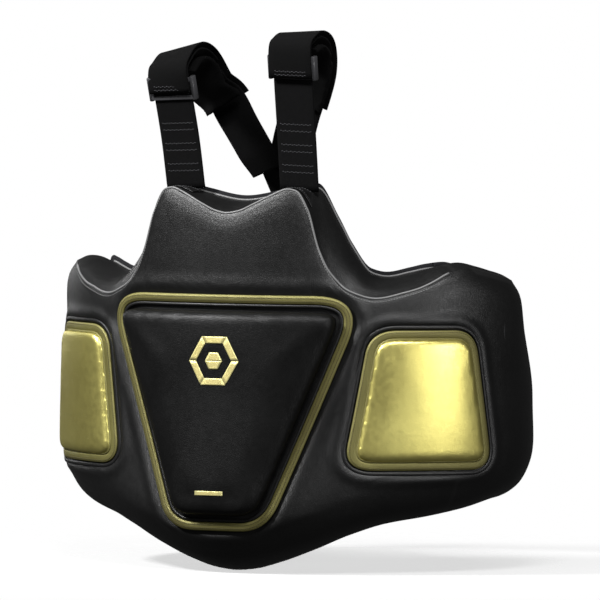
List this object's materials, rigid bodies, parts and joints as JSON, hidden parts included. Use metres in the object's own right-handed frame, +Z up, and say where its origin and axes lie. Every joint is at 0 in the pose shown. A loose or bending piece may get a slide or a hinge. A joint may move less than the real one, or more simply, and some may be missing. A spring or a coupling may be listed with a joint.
{
  "type": "padded chest protector",
  "caption": "Wrap-round padded chest protector with a raised chest pad, side pads, a folding Y shoulder harness with sliding adjusters, and a hook-and-loop back belt.",
  "frame": {"origin": "middle of the wearer's trunk, at the height of the protector's lowest point", "axes": "+Z up the trunk, -Y out of the chest, +X to the right as seen from the front"},
  "size_m": [0.5874, 0.3637, 0.6192],
  "materials": {
    "body_leather": "satin black leather with a fine grain",
    "chest_leather": "satin black leather with a fine grain",
    "gold_leather": "satin yellow gold leather with stitching",
    "gold_print": "smooth gold print",
    "gel": "soft gel",
    "foam": "closed-cell foam, stood in for by fabric",
    "liner_fabric": "fine black weave",
    "seam_piping": "light stitched piping",
    "strap_plastic": "dark moulded plastic",
    "ribbed_elastic": "black ribbed elastic",
    "hook_and_loop": "black hook-and-loop tape",
    "shoulder_fabric": "black padded fabric",
    "webbing": "flat black webbing with stitch rows"
  },
  "bodies": {
    "shield": {"front_cover": "body_leather", "top_gusset": "body_leather", "front_foam_core": "foam", "front_foam_soft": "foam", "front_liner": "liner_fabric", "top_seam_piping": "seam_piping", "liner_edge_piping": "seam_piping", "chest_pad_border": "gold_leather", "chest_pad_cover": "chest_leather", "chest_pad_foam": "foam", "chest_pad_gel": "gel", "chest_emblem": "gold_print", "chest_bar": "gold_print", "left_side_pad_surround": "body_leather", "left_side_pad_cover": "gold_leather", "left_side_pad_foam": "foam", "right_side_pad_surround": "body_leather", "right_side_pad_cover": "gold_leather", "right_side_pad_foam": "foam", "left_strap_anchor": "body_leather", "right_strap_anchor": "body_leather"},
    "left_wing": {"left_wing_cover": "body_leather", "left_wing_foam": "foam", "left_wing_liner": "liner_fabric", "left_wing_tab": "ribbed_elastic"},
    "right_wing": {"right_wing_cover": "body_leather", "right_wing_foam": "foam", "right_wing_liner": "liner_fabric", "right_wing_tab": "ribbed_elastic"},
    "left_rear_loop": {"left_wing_loop": "strap_plastic"},
    "right_rear_loop": {"right_wing_loop": "strap_plastic"},
    "harness": {"left_front_strap": "webbing", "left_shoulder_pad": "shoulder_fabric", "left_shoulder_sleeve": "shoulder_fabric", "right_shoulder_sleeve": "shoulder_fabric", "left_rear_strap": "webbing", "right_front_strap": "webbing", "right_shoulder_pad": "shoulder_fabric", "right_rear_strap": "webbing", "back_yoke": "body_leather", "centre_strap": "webbing", "centre_strap_hook_tab": "hook_and_loop"},
    "left_slider": {"left_adjuster": "strap_plastic"},
    "right_slider": {"right_adjuster": "strap_plastic"},
    "left_belt_half": {"left_belt": "ribbed_elastic", "left_belt_loop_patch": "hook_and_loop"},
    "right_belt_half": {"right_belt": "ribbed_elastic", "right_belt_hook_patch": "hook_and_loop"}
  },
  "joints": [
    {"name": "left_wing_flex", "type": "hinge", "parent": "shield", "child": "left_wing", "pos_m": [-0.2886, -0.0385, 0.2], "axis": [0, 0, 1], "range_deg": [-2, 25], "stiffness_Nm_per_rad": 3},
    {"name": "left_loop_swing", "type": "hinge", "parent": "left_wing", "child": "left_rear_loop", "pos_m": [-0.20665, 0.07049, 0.327], "axis": [0, 0, 1], "range_deg": [-20, 20]},
    {"name": "left_belt_swing", "type": "hinge", "parent": "left_wing", "child": "left_belt_half", "pos_m": [-0.2249, 0.0655, 0.262], "axis": [0, 0, 1], "range_deg": [-40, 95], "stiffness_Nm_per_rad": 0.6},
    {"name": "left_adjuster_slide", "type": "slide", "parent": "harness", "child": "left_slider", "axis": [-0.044, -0.2492, 0.9675], "range_m": [-0.06, 0]},
    {"name": "right_wing_flex", "type": "hinge", "parent": "shield", "child": "right_wing", "pos_m": [0.2886, -0.0385, 0.2], "axis": [0, 0, -1], "range_deg": [-2, 25], "stiffness_Nm_per_rad": 3},
    {"name": "right_loop_swing", "type": "hinge", "parent": "right_wing", "child": "right_rear_loop", "pos_m": [0.20665, 0.07049, 0.327], "axis": [0, 0, 1], "range_deg": [-20, 20]},
    {"name": "right_belt_swing", "type": "hinge", "parent": "right_wing", "child": "right_belt_half", "pos_m": [0.2249, 0.0655, 0.262], "axis": [0, 0, -1], "range_deg": [0, 95], "stiffness_Nm_per_rad": 0.6},
    {"name": "right_adjuster_slide", "type": "slide", "parent": "harness", "child": "right_slider", "axis": [0.032, -0.1816, 0.9828], "range_m": [-0.06, 0]},
    {"name": "harness_fold", "type": "hinge", "parent": "shield", "child": "harness", "pos_m": [0, -0.141, 0.444], "axis": [1, 0, 0], "range_deg": [-12, 70]}
  ]
}
